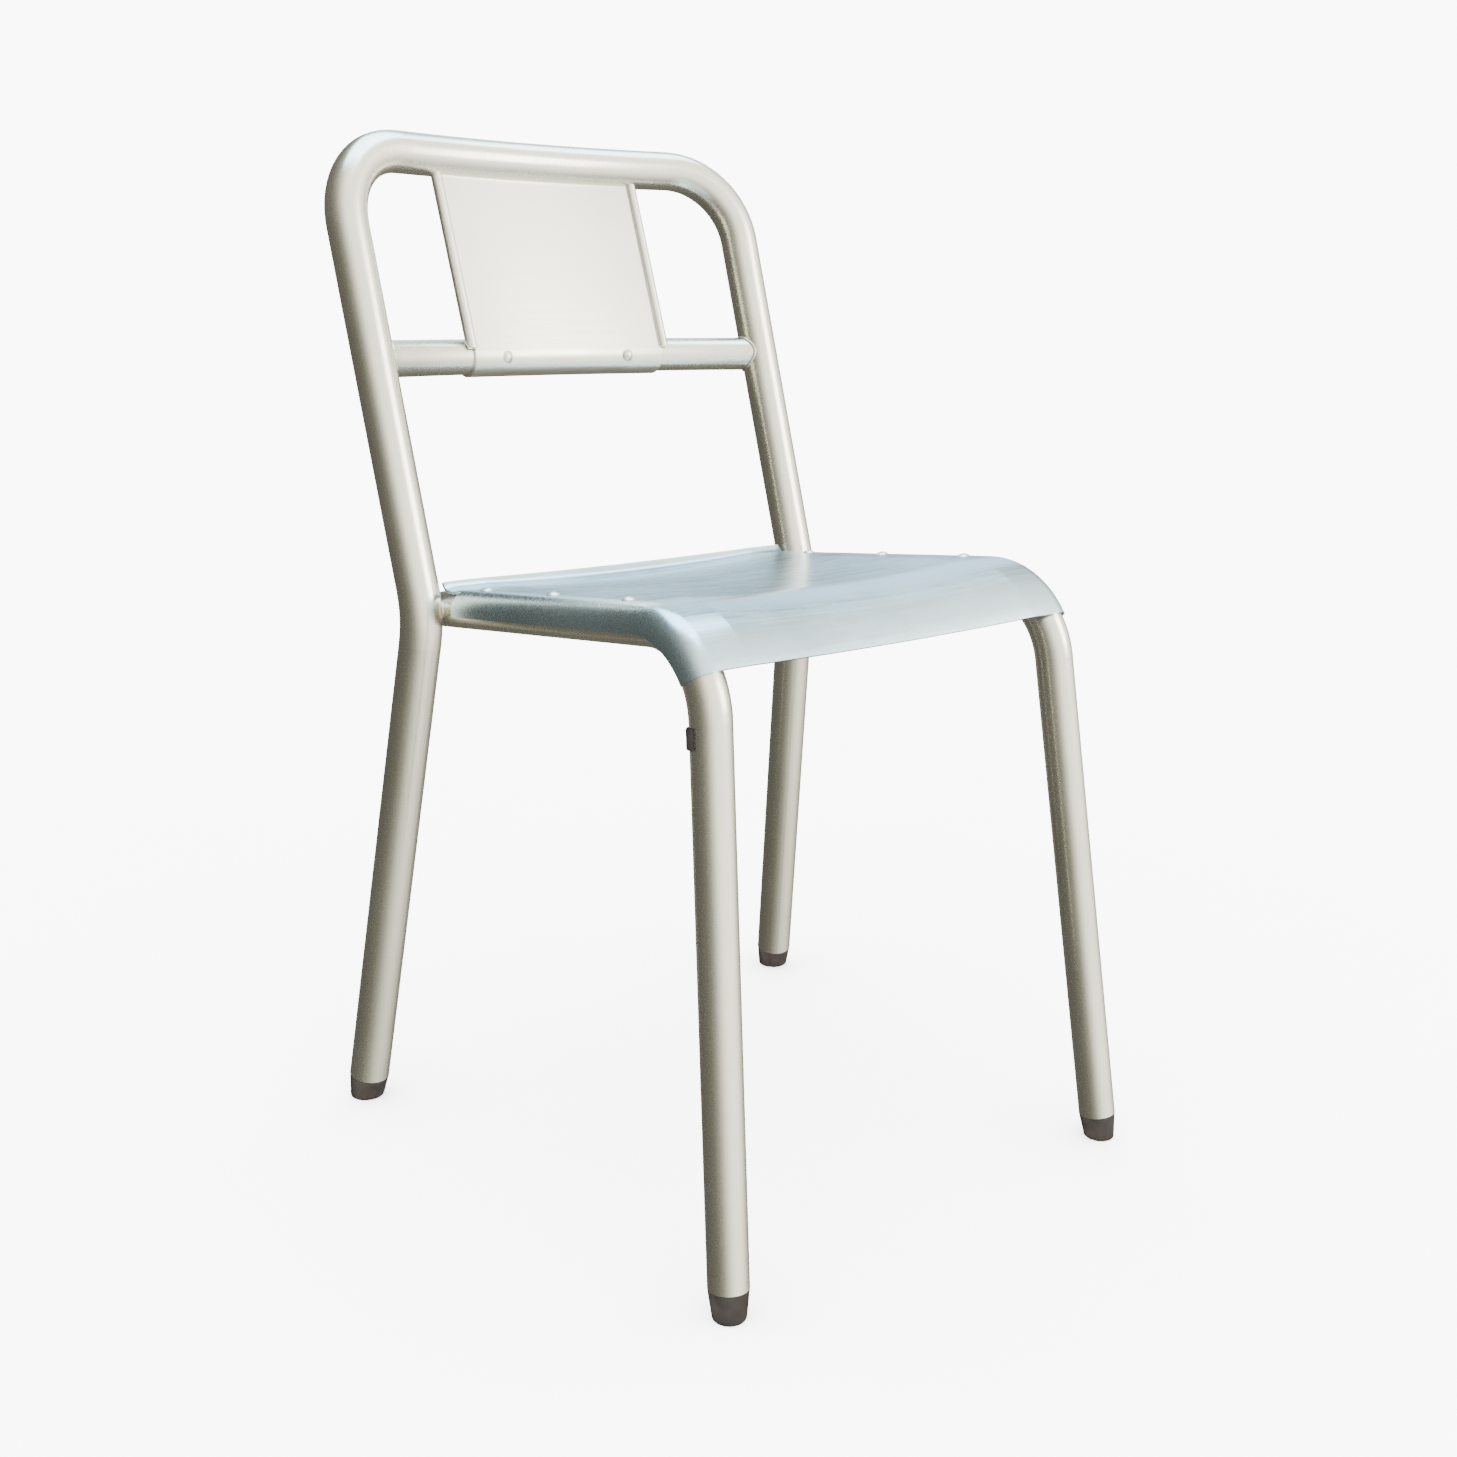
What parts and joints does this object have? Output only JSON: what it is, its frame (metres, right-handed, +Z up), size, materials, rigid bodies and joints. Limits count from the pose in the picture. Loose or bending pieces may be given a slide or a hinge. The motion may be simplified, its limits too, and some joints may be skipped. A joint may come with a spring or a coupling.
{
  "type": "stacking chair",
  "caption": "Stacking chair with splayed bent tube legs, a hoop back with a bowed sheet panel over a lower rail, and a pressed sheet seat rolled down in front.",
  "frame": {"origin": "on the floor, under the middle of the chair's overall width and depth", "axes": "+Z up, -Y the way the sitter faces, +X the sitter's left"},
  "size_m": [0.4776, 0.5232, 0.77],
  "materials": {
    "tube_aluminium": "satin, warm silver",
    "seat_aluminium": "satin, cool pale blue sheen",
    "panel_aluminium": "satin, cream sheen",
    "rivet_aluminium": "satin",
    "dark_plastic": "matte, dark plum brown",
    "foot_rubber": "matte, dark plum brown"
  },
  "bodies": {
    "root": {"back_hoop": "tube_aluminium", "left_front_leg": "tube_aluminium", "right_front_leg": "tube_aluminium", "lower_back_rail": "tube_aluminium", "rear_cross_rail": "tube_aluminium", "front_cross_rail": "tube_aluminium", "back_panel": "panel_aluminium", "panel_rivets": "rivet_aluminium", "seat_shell": "seat_aluminium", "seat_stiffener": "seat_aluminium", "seat_rivets": "rivet_aluminium", "left_rail_plug": "dark_plastic", "right_rail_plug": "dark_plastic", "left_stacking_pad": "dark_plastic", "right_stacking_pad": "dark_plastic", "left_front_foot": "foot_rubber", "right_front_foot": "foot_rubber", "left_rear_foot": "foot_rubber", "right_rear_foot": "foot_rubber"}
  },
  "joints": []
}
